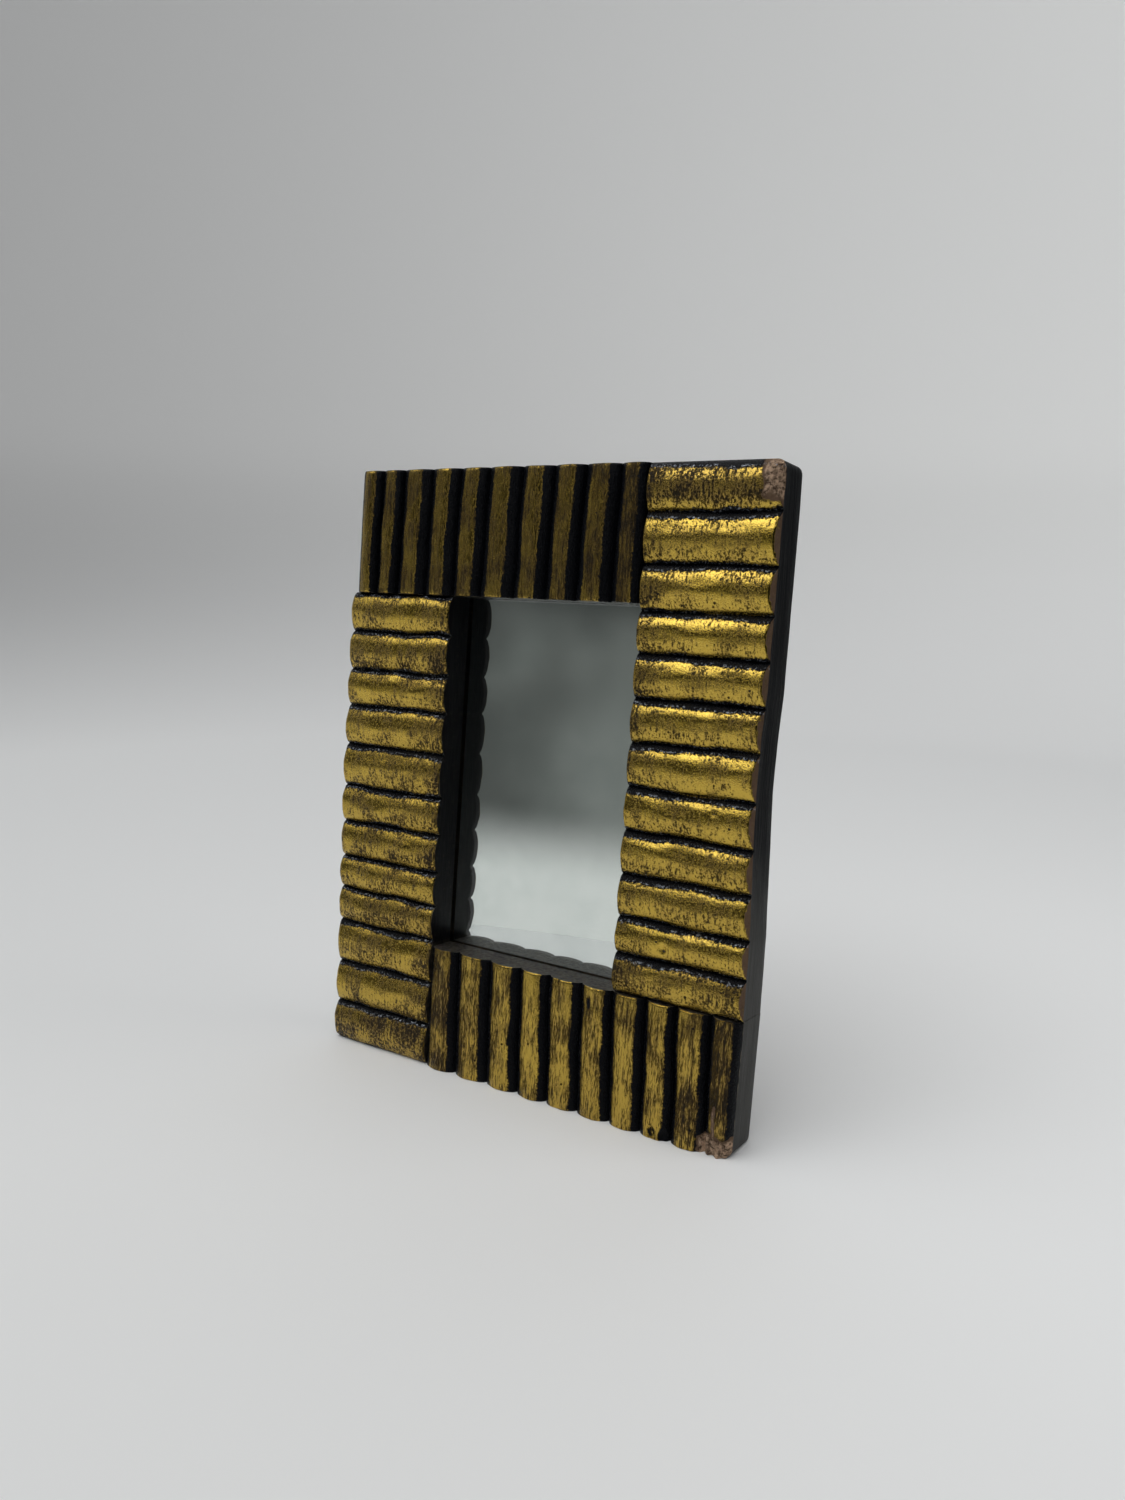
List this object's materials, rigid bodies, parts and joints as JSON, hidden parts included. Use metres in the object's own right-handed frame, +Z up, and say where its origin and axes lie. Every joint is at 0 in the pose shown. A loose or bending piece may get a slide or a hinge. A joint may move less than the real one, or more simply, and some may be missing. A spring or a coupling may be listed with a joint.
{
  "type": "tabletop mirror frame",
  "caption": "Small carved wooden frame with reeded rails and a recessed mirror, standing on a hinged easel strut, with turn buttons that hold its back board.",
  "frame": {"origin": "on the table, under the middle of the whole object's box, strut foot included", "axes": "+X to the right as seen from the front, +Y towards the back, +Z up; the mirror faces -Y and leans back 6 degrees"},
  "size_m": [0.165, 0.0678, 0.2148],
  "materials": {
    "gilt_wood": "worn antique gilding over black, glossy on the crests",
    "dowel_wood": "bare beech",
    "clear_glass": "polished",
    "silvering": "silvered, painted behind",
    "grey_card": "matte",
    "hardboard": "smooth pressed hardboard, semi matte",
    "brass": "dulled, lightly scratched",
    "zinc_steel": "zinc plated, dull"
  },
  "bodies": {
    "frame": {"top_rail": "gilt_wood", "right_stile": "gilt_wood", "bottom_rail": "gilt_wood", "left_stile": "gilt_wood", "corner_dowel_1": "dowel_wood", "corner_dowel_2": "dowel_wood", "corner_dowel_3": "dowel_wood", "corner_dowel_4": "dowel_wood", "corner_dowel_5": "dowel_wood", "corner_dowel_6": "dowel_wood", "corner_dowel_7": "dowel_wood", "corner_dowel_8": "dowel_wood", "mirror_glass": "clear_glass", "mirror_silvering": "silvering", "backing_card": "grey_card", "back_board": "hardboard", "turn_button_screw_1": "zinc_steel", "turn_button_screw_2": "zinc_steel", "turn_button_screw_3": "zinc_steel", "turn_button_screw_4": "zinc_steel", "hinge_board_leaf": "zinc_steel", "hinge_board_rivets": "zinc_steel", "hinge_pin": "zinc_steel"},
    "strut": {"easel_strut": "hardboard", "hinge_strut_leaf": "zinc_steel", "hinge_strut_rivets": "zinc_steel"},
    "button_1": {"turn_button_1": "brass"},
    "button_2": {"turn_button_2": "brass"},
    "button_3": {"turn_button_3": "brass"},
    "button_4": {"turn_button_4": "brass"}
  },
  "joints": [
    {"name": "strut_hinge", "type": "hinge", "parent": "frame", "child": "strut", "pos_m": [0, 0.00139, 0.14712], "axis": [1, 0, 0], "range_deg": [-18, 0]},
    {"name": "button_1_turn", "type": "hinge", "parent": "frame", "child": "button_1", "pos_m": [-0.052, -0.00795, 0.07269], "axis": [0, 0.9945, -0.1045], "continuous": true},
    {"name": "button_2_turn", "type": "hinge", "parent": "frame", "child": "button_2", "pos_m": [0.052, -0.00795, 0.07269], "axis": [0, 0.9945, -0.1045], "continuous": true},
    {"name": "button_3_turn", "type": "hinge", "parent": "frame", "child": "button_3", "pos_m": [-0.052, -0.00105, 0.13833], "axis": [0, 0.9945, -0.1045], "continuous": true},
    {"name": "button_4_turn", "type": "hinge", "parent": "frame", "child": "button_4", "pos_m": [0.052, -0.00105, 0.13833], "axis": [0, 0.9945, -0.1045], "continuous": true}
  ]
}
